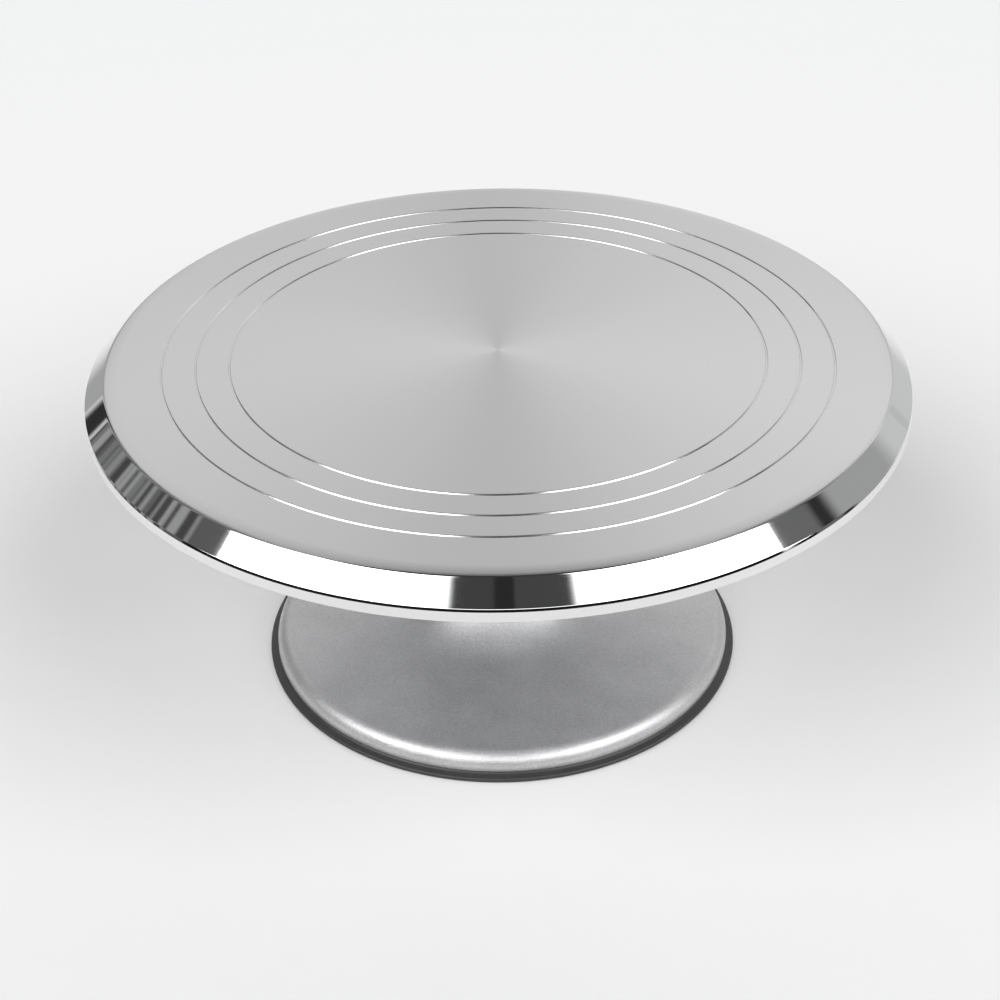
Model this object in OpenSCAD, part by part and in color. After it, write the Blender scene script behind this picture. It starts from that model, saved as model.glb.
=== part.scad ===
// Cake turntable: a turned aluminium plate that spins on a trumpet-shaped cast pedestal.
// The plate bolts to a flanged spindle, and the spindle runs in two deep-groove ball
// bearings in the pedestal's column. Millimetres, +Z up, origin on the table under the axis.

/* [Plate] */
// Diameter of the plate over its lip
plate_d = 305; // [290:5:330]
// Height of the plate's face above the table
overall_h = 130; // [128:1:136]
// Thickness of the plate's web
web_t = 4.5; // [4:0.5:6]
// Depth of the plate's edge, from its face to the bottom of its lip
rim_h = 13; // [12:0.5:15]
// Width of the polished 45 degree bevel
bevel_w = 8; // [7:0.5:8.5]
// Width of the crowned edge between the face and the bevel
crown_w = 5; // [4:0.5:6]
// How far the crowned edge falls below the face
crown_drop = 0.5; // [0.3:0.1:0.8]

/* [Centring rings] */
// Number of rings cut in the face
ring_count = 3; // [1:1:4]
// Radius of the innermost ring
ring_first_r = 99; // [80:1:100]
// Distance from one ring to the next
ring_pitch = 12.4; // [8:0.2:13]
// Width of a ring's V groove, whose walls slope at 45 degrees
ring_w = 1; // [0.8:0.1:1.6]

/* [Pedestal] */
// Diameter of the metal foot
foot_d = 180; // [170:2:190]
// Height of the foot's shoulder above the table
shoulder_h = 10; // [10:0.5:12]
// Radius of the foot's rounded shoulder
shoulder_r = 6; // [5:0.5:6]
// Rise of the foot towards the column, in degrees
foot_slope = 8.5; // [7:0.5:10]
// Radius of the flare between the foot and the column
flare_r = 30; // [26:1:32]
// Diameter of the column
column_d = 46; // [44:1:50]
// Thickness of the cast skin
skin_t = 3.5; // [3:0.5:4]
// Number of ribs under the foot
rib_count = 6; // [4:1:8]
// Thickness of a rib
rib_t = 3; // [2.5:0.5:4]

/* [Foot ring] */
// How far the rubber ring stands out past the metal foot
ring_overhang = 3; // [2:0.5:4]
// Height of the rubber under the foot
rubber_h = 3; // [2.5:0.5:3.5]

/* [Bearings] */
// Bore of each bearing, the spindle's diameter
bearing_bore = 12; // [12]
// Outside diameter of each bearing
bearing_od = 32; // [32]
// Width of each bearing
bearing_w = 10; // [10]
// Number of balls in each bearing
ball_count = 7; // [7]
// Diameter of a ball
ball_d = 5.953; // [5.953]

/* [Fasteners] */
// Number of screws between the flange and the plate
screw_count = 4; // [3:1:6]
// Diameter of the circle of screws
screw_pcd = 60; // [60:1:62]
// Thread diameter of a screw
screw_d = 5; // [5]
// Length of a screw under its head
screw_l = 10; // [8:1:11]

/* [Hidden] */

$fn = 96;
eps = 0.01;     // overshoot of a cutter past the face it opens
arc_steps = 8;  // straight pieces in a quarter of a small round

// Plate
plate_r = plate_d / 2;
bevel_top_r = plate_r - bevel_w;
bevel_foot_z = overall_h - crown_drop - bevel_w;
face_r = bevel_top_r - crown_w;               // radius of the flat part of the face
crown_r = (crown_w * crown_w + crown_drop * crown_drop) / (2 * crown_drop);
crown_angle = asin(crown_w / crown_r);
ring_depth = ring_w / 2;
lip_facet = 1;                                // narrow facet between the bevel and the lip
lip_facet_slope = 25;                         // its lean from upright
lip_foot_round = 0.6;                         // round at the bottom of the lip
lip_t = 5;                                    // thickness of the lip at its bottom
lip_inner_r = plate_r - lip_t;
inner_bevel_drop = 6;                         // depth of the sloped wall inside the rim
boss_r = 40;                                  // boss that the flange bolts to
boss_h = 4;
boss_round = 1.5;                             // fillet between the boss and the web
boss_z = overall_h - web_t - boss_h;

// Flange and spindle
flange_t = 5;
flange_r = 38;
flange_z = boss_z - flange_t;
stub_r = 9;                                   // spindle's stub in the flange's bore
collar_r = 12;                                // collar that the flange rests on
collar_h = 6;
collar_z = flange_z - collar_h;
turned_chamfer = 1;                           // chamfer on the flange's and the spindle's edges
screw_start = 45;                             // angle of the first screw
screw_hole_r = 2.75;                          // clearance hole for the thread
screw_tip = 0.6;                              // chamfer on the end of the thread
washer_t = 1.2;
washer_r = 4.6;
washer_bore_r = 2.65;
washer_slit = 0.9;
head_r = 4.75;
head_h = 2.75;
head_hex = 3;                                 // across the flats of the socket
head_hex_depth = 1.6;
hole_spare = 2;                               // depth of the tapped hole past the screw's end
hole_depth = screw_l - washer_t - flange_t + hole_spare;

// Bearings, at their standard sizes
bore_r = bearing_bore / 2;
race_r = bearing_od / 2;
ball_r = ball_d / 2;
pitch_r = (bore_r + race_r) / 2;
groove_r = ball_r + 0.023;                    // the balls run clear of both grooves
land_gap = 1.7;                               // from the pitch circle to each race's land
inner_land_r = pitch_r - land_gap;
outer_land_r = pitch_r + land_gap;
race_chamfer = 0.6;                           // outer race, where it enters the housing
bore_chamfer = 0.3;                           // inner race, where the spindle enters
land_chamfer = 0.2;                           // inner race, beside its land
shield_t = 0.4;
shield_inset = 0.5;                           // shield's face below the race's face
shield_step = 0.9;                            // depth of the seat that holds the shield
shield_seat_h = shield_inset + shield_t + 0.1;
shield_seat_r = outer_land_r + shield_step;
shield_gap = 0.25;                            // between the shield and the inner race
cage_t = 0.5;
cage_half_w = 1.1;
pocket_r = ball_r + 0.08;
rivet_r = 0.45;
rivet_head_r = 0.85;
rivet_head_h = 0.35;
rivet_head_taper = 0.2;

// Heights along the column
column_gap = 20;                              // from the plate's face down to the column's top
column_top = overall_h - column_gap;
bearing_sink = 2;                             // upper bearing's face below the column's top
upper_bearing_z = column_top - bearing_sink - bearing_w;
spacer_l = 26;
slip_gap = 0.05;                              // round the spindle, in the spacer and the shim
lower_bearing_z = upper_bearing_z - spacer_l - bearing_w;
shim_t = 0.5;
circlip_t = 1;
circlip_groove_depth = 0.25;
circlip_groove_r = bore_r - circlip_groove_depth;
circlip_r = bore_r + 1.7;
circlip_ear_r = 1.7;
circlip_ear_at = 22;                          // angle of each ear from the middle of the mouth
circlip_ear_out = 0.1;                        // ear's hole further out than the ear's centre
circlip_ear_hole_r = 0.8;
circlip_mouth = 10;                           // half the angle of the open mouth
circlip_z = lower_bearing_z - shim_t - circlip_t;
spindle_tail = 3.5;                           // spindle below the circlip
spindle_end_z = circlip_z - spindle_tail;
ledge_w = 2.5;                                // ledge between the two bearing seats
ledge_r = race_r - ledge_w;
neck_step = 0.3;                              // shoulders stay this far inside the race's land
spindle_neck_r = inner_land_r - neck_step;

// Pedestal
foot_r = foot_d / 2;
column_r = column_d / 2;
shoulder_c = [foot_r - shoulder_r, shoulder_h - shoulder_r];
flare_x = column_r + flare_r;
cone_start = shoulder_c + shoulder_r * [sin(foot_slope), cos(foot_slope)];
flare_c = [flare_x, cone_start[1] + (cone_start[0] - flare_x) * tan(foot_slope) + flare_r / cos(foot_slope)];
column_round = 2;                             // round at the top of the column
housing_z = 44;                               // bottom of the bearing housing
housing_wall = 4;
housing_r = race_r + housing_wall;
hollow_arc = 62;                              // how much of the flare's arc the hollow follows
rib_lift = 3;                                 // ribs' bottoms above the foot's edge
rib_z = rubber_h + rib_lift;
rib_inner_r = 24;
foot_wall = skin_t;

// Foot ring and plug
upstand_h = 2.5;                              // upstand that locates the ring inside the foot
upstand_t = 4;
upstand_lead = 2;                             // chamfer that clears the round inside the shoulder
rubber_band = 12;                             // width of rubber under the metal foot
rubber_inner_r = foot_r - rubber_band;
rubber_round = 1;                             // round at the bottom of the bead
bead_top = 60;                                // angle at which the bead's round ends
bead_step = 0.6;                              // small ledge between the bead and the foot
tread_start = 2;                              // first groove from the ring's inside
tread_w = 1;
tread_depth = 0.6;
tread_pitch = 2.6;
tread_count = 4;
plug_lip = 2;                                 // plug's flange past its bore
plug_flange_r = race_r + plug_lip;
plug_flange_t = 1.5;
plug_skirt_h = 5;
plug_wall = 1.5;

// Points of an arc round a centre, from angle a0 to angle a1
function arc(c, r, a0, a1, steps = arc_steps) =
    [for (i = [0:steps]) c + r * [cos(a0 + (a1 - a0) * i / steps), sin(a0 + (a1 - a0) * i / steps)]];

module around(count, r, start = 0) {
    for (i = [0:count - 1])
        rotate([0, 0, start + 360 * i / count]) translate([r, 0, 0]) children();
}

module tube(r_out, r_in, h) {
    difference() {
        cylinder(r = r_out, h = h);
        translate([0, 0, -eps]) cylinder(r = r_in, h = h + 2 * eps);
    }
}

// ---- Plate -------------------------------------------------------------

// Half section of the plate: face, crowned edge, bevel, lip, hollow underside and boss
module plate_section() {
    polygon(concat(
        [[0, overall_h]],
        arc([face_r, overall_h - crown_r], crown_r, 90, 90 - crown_angle),
        [[plate_r - lip_facet * sin(lip_facet_slope),
          bevel_foot_z + lip_facet * sin(lip_facet_slope)],
         [plate_r, bevel_foot_z + lip_facet * (sin(lip_facet_slope) - cos(lip_facet_slope))]],
        arc([plate_r - lip_foot_round, overall_h - rim_h + lip_foot_round], lip_foot_round, 0, -90),
        arc([lip_inner_r + lip_foot_round, overall_h - rim_h + lip_foot_round], lip_foot_round, -90, -180),
        [[lip_inner_r, overall_h - web_t - inner_bevel_drop],
         [lip_inner_r - inner_bevel_drop, overall_h - web_t],
         [boss_r + boss_round, overall_h - web_t]],
        arc([boss_r + boss_round, overall_h - web_t - boss_round], boss_round, 90, 180),
        [[boss_r, boss_z], [0, boss_z]]
    ));
}

module turntable_plate() {
    color("silver") difference() {
        rotate_extrude($fn = 180) plate_section();
        // V grooves that help to centre a cake
        rotate_extrude($fn = 180) for (i = [0:ring_count - 1])
            translate([ring_first_r + i * ring_pitch, overall_h])
                polygon([
                    [-ring_w / 2, eps], [-ring_w / 2, 0], [0, -ring_depth],
                    [ring_w / 2, 0], [ring_w / 2, eps],
                ]);
        around(screw_count, screw_pcd / 2, screw_start)
            translate([0, 0, boss_z - eps]) cylinder(d = screw_d, h = hole_depth + eps, $fn = 32);
    }
}

// ---- Flange, spindle and their fasteners --------------------------------

module spindle_flange() {
    color("lightsteelblue") difference() {
        translate([0, 0, flange_z]) rotate_extrude() polygon([
            [stub_r, 0], [flange_r - turned_chamfer, 0], [flange_r, turned_chamfer],
            [flange_r, flange_t], [stub_r, flange_t],
        ]);
        around(screw_count, screw_pcd / 2, screw_start)
            translate([0, 0, flange_z - eps]) cylinder(r = screw_hole_r, h = flange_t + 2 * eps, $fn = 32);
    }
}

// One button head screw with a hexagon socket, its head down and its shank up from z = 0
module button_screw() {
    dome_r = (head_r * head_r + head_h * head_h) / (2 * head_h);
    difference() {
        union() {
            intersection() {
                translate([0, 0, dome_r - head_h]) sphere(r = dome_r, $fn = 48);
                translate([0, 0, -head_h]) cylinder(r = head_r, h = head_h, $fn = 48);
            }
            rotate_extrude($fn = 32) polygon([
                [0, 0], [screw_d / 2, 0], [screw_d / 2, screw_l - screw_tip],
                [screw_d / 2 - screw_tip, screw_l], [0, screw_l],
            ]);
        }
        translate([0, 0, -head_h - eps])
            cylinder(d = head_hex / cos(30), h = head_hex_depth + eps, $fn = 6);
    }
}

module flange_screws() {
    color("dimgray") around(screw_count, screw_pcd / 2, screw_start)
        translate([0, 0, flange_z - washer_t]) button_screw();
}

module screw_lock_washers() {
    color("gray") around(screw_count, screw_pcd / 2, screw_start)
        translate([0, 0, flange_z - washer_t]) difference() {
            tube(washer_r, washer_bore_r, washer_t, $fn = 40);
            // the split that makes it a spring
            translate([0, -washer_slit / 2, -eps]) cube([washer_r + 1, washer_slit, washer_t + 2 * eps]);
        }
}

module spindle() {
    color("lightgray") rotate_extrude() polygon([
        [0, spindle_end_z], [bore_r - turned_chamfer, spindle_end_z],
        [bore_r, spindle_end_z + turned_chamfer],
        [bore_r, circlip_z], [circlip_groove_r, circlip_z],
        [circlip_groove_r, circlip_z + circlip_t], [bore_r, circlip_z + circlip_t],
        [bore_r, upper_bearing_z + bearing_w], [spindle_neck_r, upper_bearing_z + bearing_w],
        [spindle_neck_r, collar_z], [collar_r - turned_chamfer, collar_z],
        [collar_r, collar_z + turned_chamfer], [collar_r, flange_z], [stub_r, flange_z],
        [stub_r, boss_z - turned_chamfer], [stub_r - turned_chamfer, boss_z], [0, boss_z],
    ]);
}

module shim_washer() {
    color("goldenrod") translate([0, 0, lower_bearing_z - shim_t])
        tube(spindle_neck_r, bore_r + slip_gap, shim_t);
}

// External retaining ring with two eared ends for pliers
module spindle_circlip() {
    color("darkslategray") translate([0, 0, circlip_z]) linear_extrude(circlip_t) difference() {
        union() {
            circle(r = circlip_r);
            for (a = [-circlip_ear_at, circlip_ear_at])
                rotate(a) translate([circlip_r - circlip_ear_out, 0]) circle(r = circlip_ear_r, $fn = 32);
        }
        circle(r = circlip_groove_r);
        for (a = [-circlip_ear_at, circlip_ear_at])
            rotate(a) translate([circlip_r + circlip_ear_out, 0]) circle(r = circlip_ear_hole_r, $fn = 24);
        // the open mouth between the ears
        mouth_half = 2 * circlip_r * tan(circlip_mouth);
        polygon([[0, 0], [2 * circlip_r, -mouth_half], [2 * circlip_r, mouth_half]]);
    }
}

// ---- Bearings ------------------------------------------------------------
// Each is drawn with its bottom face at z = 0 and is lifted to its seat.

module groove_cutter() {
    rotate_extrude() translate([pitch_r, bearing_w / 2]) circle(r = groove_r, $fn = 64);
}

module inner_race() {
    color("lightgray") difference() {
        rotate_extrude() polygon([
            [bore_r, bore_chamfer], [bore_r + bore_chamfer, 0],
            [inner_land_r - land_chamfer, 0], [inner_land_r, land_chamfer],
            [inner_land_r, bearing_w - land_chamfer], [inner_land_r - land_chamfer, bearing_w],
            [bore_r + bore_chamfer, bearing_w], [bore_r, bearing_w - bore_chamfer],
        ]);
        groove_cutter();
    }
}

module outer_race() {
    color("silver") difference() {
        rotate_extrude() polygon([
            [shield_seat_r, 0], [race_r - race_chamfer, 0], [race_r, race_chamfer],
            [race_r, bearing_w - race_chamfer], [race_r - race_chamfer, bearing_w],
            [shield_seat_r, bearing_w], [shield_seat_r, bearing_w - shield_seat_h],
            [outer_land_r, bearing_w - shield_seat_h], [outer_land_r, shield_seat_h],
            [shield_seat_r, shield_seat_h],
        ]);
        groove_cutter();
    }
}

module balls() {
    color("white") translate([0, 0, bearing_w / 2]) around(ball_count, pitch_r) sphere(r = ball_r, $fn = 48);
}

// Curved strip over one ball, a slice of a hollow half ball
module cage_pocket() {
    difference() {
        intersection() {
            sphere(r = pocket_r + cage_t, $fn = 48);
            translate([-cage_half_w, -ball_d, 0]) cube([2 * cage_half_w, 2 * ball_d, ball_d]);
        }
        sphere(r = pocket_r, $fn = 48);
    }
}

// One pressed half of the cage, above its joint plane at z = 0
module cage_half() {
    difference() {
        tube(pitch_r + cage_half_w, pitch_r - cage_half_w, cage_t);
        around(ball_count, pitch_r)
            translate([0, 0, -eps]) cylinder(r = pocket_r + cage_t / 2, h = cage_t + 2 * eps, $fn = 48);
        around(ball_count, pitch_r, 180 / ball_count)
            translate([0, 0, -eps]) cylinder(r = rivet_r, h = cage_t + 2 * eps, $fn = 24);
    }
    around(ball_count, pitch_r) cage_pocket();
}

module cage_top() {
    color("darkgray") translate([0, 0, bearing_w / 2]) cage_half();
}

module cage_bottom() {
    color("darkgray") translate([0, 0, bearing_w / 2]) mirror([0, 0, 1]) cage_half();
}

module cage_rivets() {
    grip = cage_t + rivet_head_h;
    color("gray") translate([0, 0, bearing_w / 2]) around(ball_count, pitch_r, 180 / ball_count)
        rotate_extrude($fn = 24) polygon([
            [0, -grip], [rivet_head_r - rivet_head_taper, -grip], [rivet_head_r, -cage_t], [rivet_r, -cage_t],
            [rivet_r, cage_t], [rivet_head_r, cage_t], [rivet_head_r - rivet_head_taper, grip], [0, grip],
        ]);
}

// Pressed steel shield, snapped in the outer race and clear of the inner one
module shield(z) {
    color("slategray") translate([0, 0, z])
        tube(shield_seat_r, inner_land_r + shield_gap, shield_t);
}

module bearing_spacer() {
    color("lightsteelblue") translate([0, 0, lower_bearing_z + bearing_w])
        tube(spindle_neck_r, bore_r + slip_gap, spacer_l);
}

// ---- Pedestal ------------------------------------------------------------

// Half section of the outside, from the foot's edge to the top of the column
module pedestal_outside() {
    polygon(concat(
        [[0, rubber_h], [foot_r, rubber_h]],
        arc(shoulder_c, shoulder_r, 0, 90 - foot_slope),
        arc(flare_c, flare_r, 270 - foot_slope, 180, 2 * arc_steps),
        arc([column_r - column_round, column_top - column_round], column_round, 0, 90),
        [[0, column_top]]
    ));
}

// Half section of the hollow under the foot: a skin inside the outside, up to the housing
module pedestal_hollow() {
    inner_shoulder_r = shoulder_r - skin_t;
    polygon(concat(
        [[0, 0], [foot_r - foot_wall, 0]],
        arc(shoulder_c, inner_shoulder_r, 0, 90 - foot_slope),
        arc(flare_c, flare_r + skin_t, 270 - foot_slope, 270 - foot_slope - hollow_arc, 1.5 * arc_steps),
        [[housing_r, housing_z], [0, housing_z]]
    ));
}

module pedestal_ribs() {
    intersection() {
        for (i = [0:rib_count - 1]) rotate([0, 0, 360 * i / rib_count])
            translate([rib_inner_r, -rib_t / 2, rib_z]) cube([foot_r, rib_t, housing_z - rib_z]);
        rotate_extrude() pedestal_hollow();
    }
}

module pedestal() {
    color("darkgray") difference() {
        union() {
            difference() {
                rotate_extrude($fn = 128) pedestal_outside();
                rotate_extrude($fn = 128) pedestal_hollow();
            }
            pedestal_ribs();
        }
        // the two bearing seats and the ledge between them
        translate([0, 0, upper_bearing_z]) cylinder(r = race_r, h = column_top);
        translate([0, 0, lower_bearing_z]) cylinder(r = ledge_r, h = column_top);
        cylinder(r = race_r, h = lower_bearing_z + bearing_w);
    }
}

// Plastic cap pushed up into the mouth of the housing
module bore_plug() {
    color("black") translate([0, 0, housing_z]) difference() {
        union() {
            translate([0, 0, -plug_flange_t]) cylinder(r = plug_flange_r, h = plug_flange_t);
            cylinder(r = race_r, h = plug_skirt_h);
        }
        cylinder(r = race_r - plug_wall, h = plug_skirt_h + eps);
    }
}

// ---- Foot ring -----------------------------------------------------------

// Rubber ring: a tread under the foot, an upstand inside its wall and a bead outside it
module foot_ring() {
    bead_r = foot_r + ring_overhang;
    upstand_r = foot_r - foot_wall;
    color("black") rotate_extrude($fn = 128) difference() {
        polygon(concat(
            [[rubber_inner_r, 0]],
            arc([bead_r - rubber_round, rubber_round], rubber_round, -90, bead_top),
            [[foot_r + bead_step, rubber_h - bead_step], [foot_r, rubber_h],
             [upstand_r, rubber_h], [upstand_r, rubber_h + upstand_h - upstand_lead],
             [upstand_r - upstand_lead, rubber_h + upstand_h],
             [upstand_r - upstand_t, rubber_h + upstand_h], [upstand_r - upstand_t, rubber_h],
             [rubber_inner_r, rubber_h]]
        ));
        for (i = [0:tread_count - 1])
            translate([rubber_inner_r + tread_start + i * tread_pitch, -eps])
                square([tread_w, tread_depth + eps]);
    }
}

// ---- Nodes ---------------------------------------------------------------

turntable_plate();
spindle_flange();
flange_screws();
screw_lock_washers();
spindle();
translate([0, 0, upper_bearing_z]) inner_race();  // upper_bearing_inner_race
translate([0, 0, upper_bearing_z]) outer_race();  // upper_bearing_outer_race
translate([0, 0, upper_bearing_z]) balls();  // upper_bearing_balls
translate([0, 0, upper_bearing_z]) cage_top();  // upper_bearing_cage_top
translate([0, 0, upper_bearing_z]) cage_bottom();  // upper_bearing_cage_bottom
translate([0, 0, upper_bearing_z]) cage_rivets();  // upper_bearing_cage_rivets
translate([0, 0, upper_bearing_z]) shield(bearing_w - shield_inset - shield_t);  // upper_bearing_top_shield
translate([0, 0, upper_bearing_z]) shield(shield_inset);  // upper_bearing_bottom_shield
bearing_spacer();
translate([0, 0, lower_bearing_z]) inner_race();  // lower_bearing_inner_race
translate([0, 0, lower_bearing_z]) outer_race();  // lower_bearing_outer_race
translate([0, 0, lower_bearing_z]) balls();  // lower_bearing_balls
translate([0, 0, lower_bearing_z]) cage_top();  // lower_bearing_cage_top
translate([0, 0, lower_bearing_z]) cage_bottom();  // lower_bearing_cage_bottom
translate([0, 0, lower_bearing_z]) cage_rivets();  // lower_bearing_cage_rivets
translate([0, 0, lower_bearing_z]) shield(bearing_w - shield_inset - shield_t);  // lower_bearing_top_shield
translate([0, 0, lower_bearing_z]) shield(shield_inset);  // lower_bearing_bottom_shield
shim_washer();
spindle_circlip();
pedestal();
bore_plug();
foot_ring();
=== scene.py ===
"""Dresses the cake turntable: turned plate, sand-coated pedestal, rubber foot and the works inside.

Lengths are in millimetres in the classes, and each finished mesh is scaled to metres once.
Every piece is turned about its own axis, and then has its holes, ribs and sockets cut or joined.
"""

import logging
import math
from collections.abc import Callable
from dataclasses import dataclass, field
from enum import Enum

import bmesh
import bpy
from mathutils import Matrix, Vector


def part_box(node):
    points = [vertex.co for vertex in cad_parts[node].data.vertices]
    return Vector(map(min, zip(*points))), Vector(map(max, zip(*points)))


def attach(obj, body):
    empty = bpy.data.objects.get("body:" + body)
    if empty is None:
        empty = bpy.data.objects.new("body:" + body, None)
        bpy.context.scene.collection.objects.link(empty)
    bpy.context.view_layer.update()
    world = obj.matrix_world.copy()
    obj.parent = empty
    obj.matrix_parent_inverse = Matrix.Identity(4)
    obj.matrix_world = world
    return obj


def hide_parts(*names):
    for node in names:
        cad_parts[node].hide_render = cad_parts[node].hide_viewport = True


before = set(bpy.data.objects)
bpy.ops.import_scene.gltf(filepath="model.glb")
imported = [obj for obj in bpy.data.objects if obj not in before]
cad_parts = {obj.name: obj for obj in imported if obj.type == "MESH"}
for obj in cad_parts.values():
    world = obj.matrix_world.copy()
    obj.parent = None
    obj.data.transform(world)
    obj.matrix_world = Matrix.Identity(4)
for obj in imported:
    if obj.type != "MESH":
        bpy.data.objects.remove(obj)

log = logging.getLogger("turntable")

MM = 0.001
# These four are in millimetres. A coat's zone is drawn the first one past its edge, and two heights closer
# than the second are one. Points closer than the third are merged, and edges shorter than the fourth go.
ZONE_SPARE = 0.1
NEAR = 0.01
MERGED = 0.001
SLIVER = 0.0005
Point = tuple[float, float]


# ---- Node trees ------------------------------------------------------------


def linear(colour: str) -> tuple[float, float, float, float]:
    """Turns an sRGB hex colour to the linear one that a shader takes.

    Args:
        colour: Six hex digits.

    Returns:
        Linear red, green and blue, and an alpha of 1.
    """
    parts = [int(colour[i:i + 2], 16) / 255 for i in (0, 2, 4)]
    red, green, blue = [p / 12.92 if p <= 0.04045 else ((p + 0.055) / 1.055) ** 2.4 for p in parts]
    return red, green, blue, 1.0


def add_node(
    tree: bpy.types.NodeTree,
    kind: str,
    inputs: dict[str | int, object] | None = None,
    **settings: object,
) -> bpy.types.Node:
    """Adds one node with its settings, values and links.

    Args:
        tree: The tree that gets the node.
        kind: Blender's name of the node.
        inputs: Each input's name or number, with a socket to link or a value to set.
        **settings: The node's own properties.

    Returns:
        The new node.
    """
    node = tree.nodes.new(kind)
    for name, value in settings.items():
        setattr(node, name, value)
    for key, value in (inputs or {}).items():
        if isinstance(value, bpy.types.NodeSocket):
            tree.links.new(value, node.inputs[key])
        else:
            node.inputs[key].default_value = value
    return node


# ---- Finishes --------------------------------------------------------------


@dataclass(frozen=True)
class Finish:
    """What every finish has. A subclass adds the pattern that its making leaves."""

    name: str
    colour: str
    metallic: float
    roughness: float
    anisotropy: float = 0.0
    ior: float = 1.5

    def material(self) -> bpy.types.Material:
        """Builds the material.

        Returns:
            A material with one Principled shader and the finish's pattern.
        """
        made = bpy.data.materials.new(self.name)
        made.use_nodes = True
        tree = made.node_tree
        tree.nodes.clear()
        values = {
            "Base Color": linear(self.colour),
            "Metallic": self.metallic,
            "Roughness": self.roughness,
            "Anisotropic": self.anisotropy,
        }
        if self.metallic < 1:
            values["IOR"] = self.ior
        shader = add_node(tree, "ShaderNodeBsdfPrincipled", values)
        add_node(tree, "ShaderNodeOutputMaterial", {"Surface": shader.outputs["BSDF"]})
        self.pattern(tree, shader)
        return made

    def pattern(self, tree: bpy.types.NodeTree, shader: bpy.types.Node) -> None:
        """Adds the pattern to the shader.

        Args:
            tree: The material's tree.
            shader: Its Principled shader.
        """
        raise NotImplementedError

    def vary(
        self, tree: bpy.types.NodeTree, shader: bpy.types.Node, amount: bpy.types.NodeSocket,
        light: float, rough: float,
    ) -> None:
        """Lets a pattern from 0 to 1 change the colour and the roughness about their own values.

        Args:
            tree: The material's tree.
            shader: Its Principled shader.
            amount: The pattern.
            light: How much of the colour comes and goes.
            rough: How much the roughness comes and goes.
        """
        gain = add_node(
            tree, "ShaderNodeMapRange", {"Value": amount, "To Min": 1 - light, "To Max": 1 + light},
        )
        shade = add_node(
            tree, "ShaderNodeVectorMath", {0: linear(self.colour)[:3], "Scale": gain.outputs["Result"]},
            operation="SCALE",
        )
        grade = add_node(
            tree, "ShaderNodeMapRange",
            {"Value": amount, "To Min": self.roughness - rough, "To Max": self.roughness + rough},
        )
        tree.links.new(shade.outputs["Vector"], shader.inputs["Base Color"])
        tree.links.new(grade.outputs["Result"], shader.inputs["Roughness"])


@dataclass(frozen=True)
class TurnedFinish(Finish):
    """Metal cut or polished on a lathe: fine grooves round the axis spread its light across them."""

    pitch: float = 0.9
    depth: float = 0.001
    light: float = 0.02
    rough: float = 0.02

    def pattern(self, tree: bpy.types.NodeTree, shader: bpy.types.Node) -> None:
        """Adds grooves of uneven depth round the axis.

        Args:
            tree: The material's tree.
            shader: Its Principled shader.
        """
        place = add_node(tree, "ShaderNodeTexCoord").outputs["Object"]
        flat = add_node(tree, "ShaderNodeVectorMath", {0: place, 1: (1, 1, 0)}, operation="MULTIPLY")
        radius = add_node(tree, "ShaderNodeVectorMath", {0: flat.outputs["Vector"]}, operation="LENGTH")
        height = add_node(tree, "ShaderNodeSeparateXYZ", {0: place}).outputs["Z"]
        along = add_node(
            tree, "ShaderNodeMath", {0: radius.outputs["Value"], 1: height}, operation="SUBTRACT",
        )
        groove = add_node(
            tree, "ShaderNodeTexNoise",
            {"W": along.outputs["Value"], "Scale": 1 / (self.pitch * MM), "Detail": 2.0, "Roughness": 0.6},
            noise_dimensions="1D",
        )
        bump = add_node(
            tree, "ShaderNodeBump",
            {"Height": groove.outputs["Fac"], "Strength": 1.0, "Distance": self.depth * MM},
        )
        tree.links.new(bump.outputs["Normal"], shader.inputs["Normal"])
        self.vary(tree, shader, groove.outputs["Fac"], self.light, self.rough)
        if self.anisotropy > 0:
            around = add_node(tree, "ShaderNodeTangent", direction_type="RADIAL", axis="Z")
            shader.inputs["Anisotropic Rotation"].default_value = 0.25
            tree.links.new(around.outputs["Tangent"], shader.inputs["Tangent"])


@dataclass(frozen=True)
class GrainedFinish(Finish):
    """A surface with an even grain in every direction: a coat's grit, a mould's texture, rubber's skin."""

    grain: float = 0.8
    depth: float = 0.05
    light: float = 0.08
    rough: float = 0.05

    def pattern(self, tree: bpy.types.NodeTree, shader: bpy.types.Node) -> None:
        """Adds grains, and broad faint clouds so that no large area is quite even.

        Args:
            tree: The material's tree.
            shader: Its Principled shader.
        """
        place = add_node(tree, "ShaderNodeTexCoord").outputs["Object"]
        grit = add_node(
            tree, "ShaderNodeTexNoise",
            {"Vector": place, "Scale": 1 / (self.grain * MM), "Detail": 3.0, "Roughness": 0.65},
        )
        cloud = add_node(
            tree, "ShaderNodeTexNoise", {"Vector": place, "Scale": 0.05 / (self.grain * MM), "Detail": 2.0},
        )
        both = add_node(
            tree, "ShaderNodeMix", {"Factor": 0.3, "A": grit.outputs["Fac"], "B": cloud.outputs["Fac"]},
        )
        bump = add_node(
            tree, "ShaderNodeBump",
            {"Height": grit.outputs["Fac"], "Strength": 1.0, "Distance": self.depth * MM},
        )
        tree.links.new(bump.outputs["Normal"], shader.inputs["Normal"])
        self.vary(tree, shader, both.outputs["Result"], self.light, self.rough)


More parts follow.
